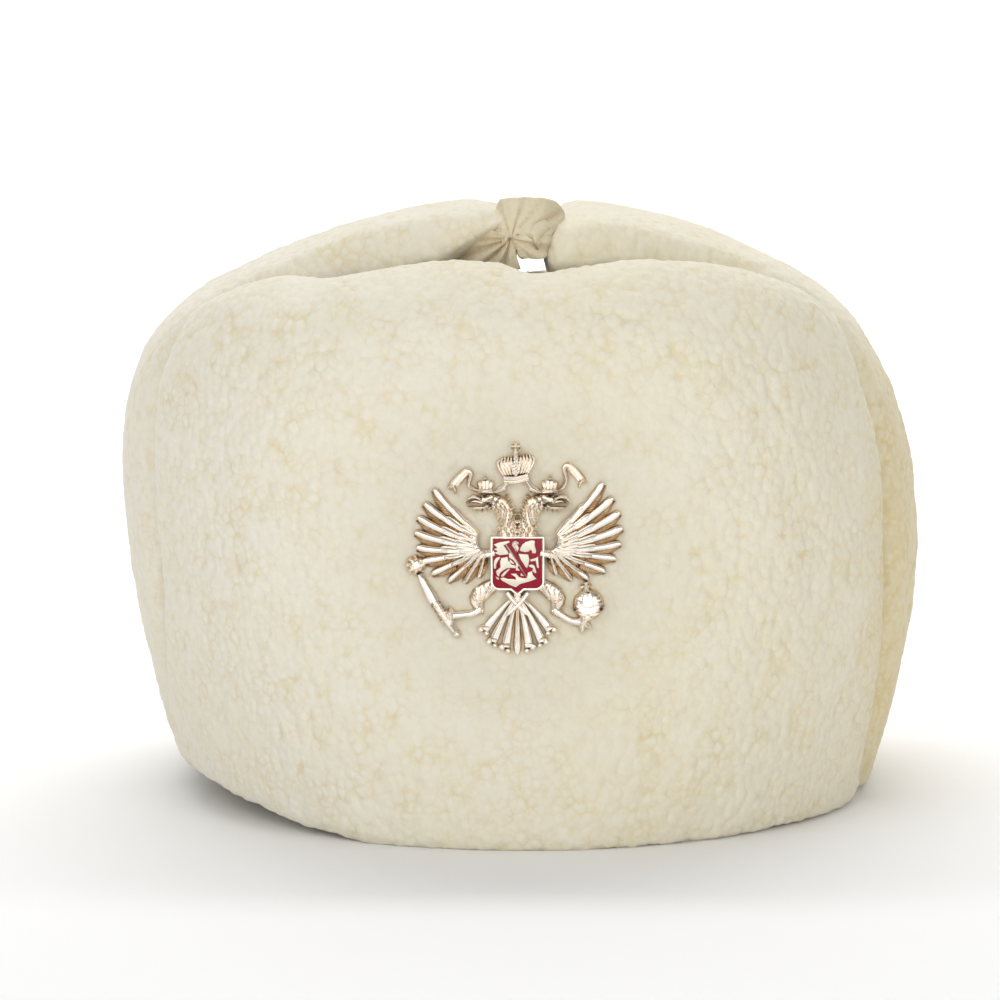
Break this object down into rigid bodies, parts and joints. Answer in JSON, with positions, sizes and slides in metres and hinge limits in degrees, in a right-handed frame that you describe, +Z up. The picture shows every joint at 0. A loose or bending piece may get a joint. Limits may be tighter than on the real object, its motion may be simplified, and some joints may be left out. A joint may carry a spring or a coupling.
{
  "type": "ushanka",
  "caption": "Sheared sheepskin hat with its ear flaps tied up over a leather crown and a cast eagle badge on the turned-up visor.",
  "frame": {"origin": "middle of the hat's box, on the surface that its rim stands on", "axes": "+Z up, -Y the way the wearer looks, +X the wearer's left"},
  "size_m": [0.2253, 0.2487, 0.166],
  "materials": {
    "wool": "sheared ivory sheepskin",
    "leather": "soft cream leather, matt",
    "gold": "polished pale gold plating",
    "pale_gold": "matt pale gold",
    "enamel": "gloss crimson enamel"
  },
  "bodies": {
    "root": {"crown": "leather", "visor": "wool", "neck_flap": "wool", "ear_flap_right": "wool", "ear_flap_left": "wool", "tie_fan": "leather", "tie_strap": "leather", "badge": "gold", "badge_enamel": "enamel", "badge_rider": "pale_gold"}
  },
  "joints": []
}
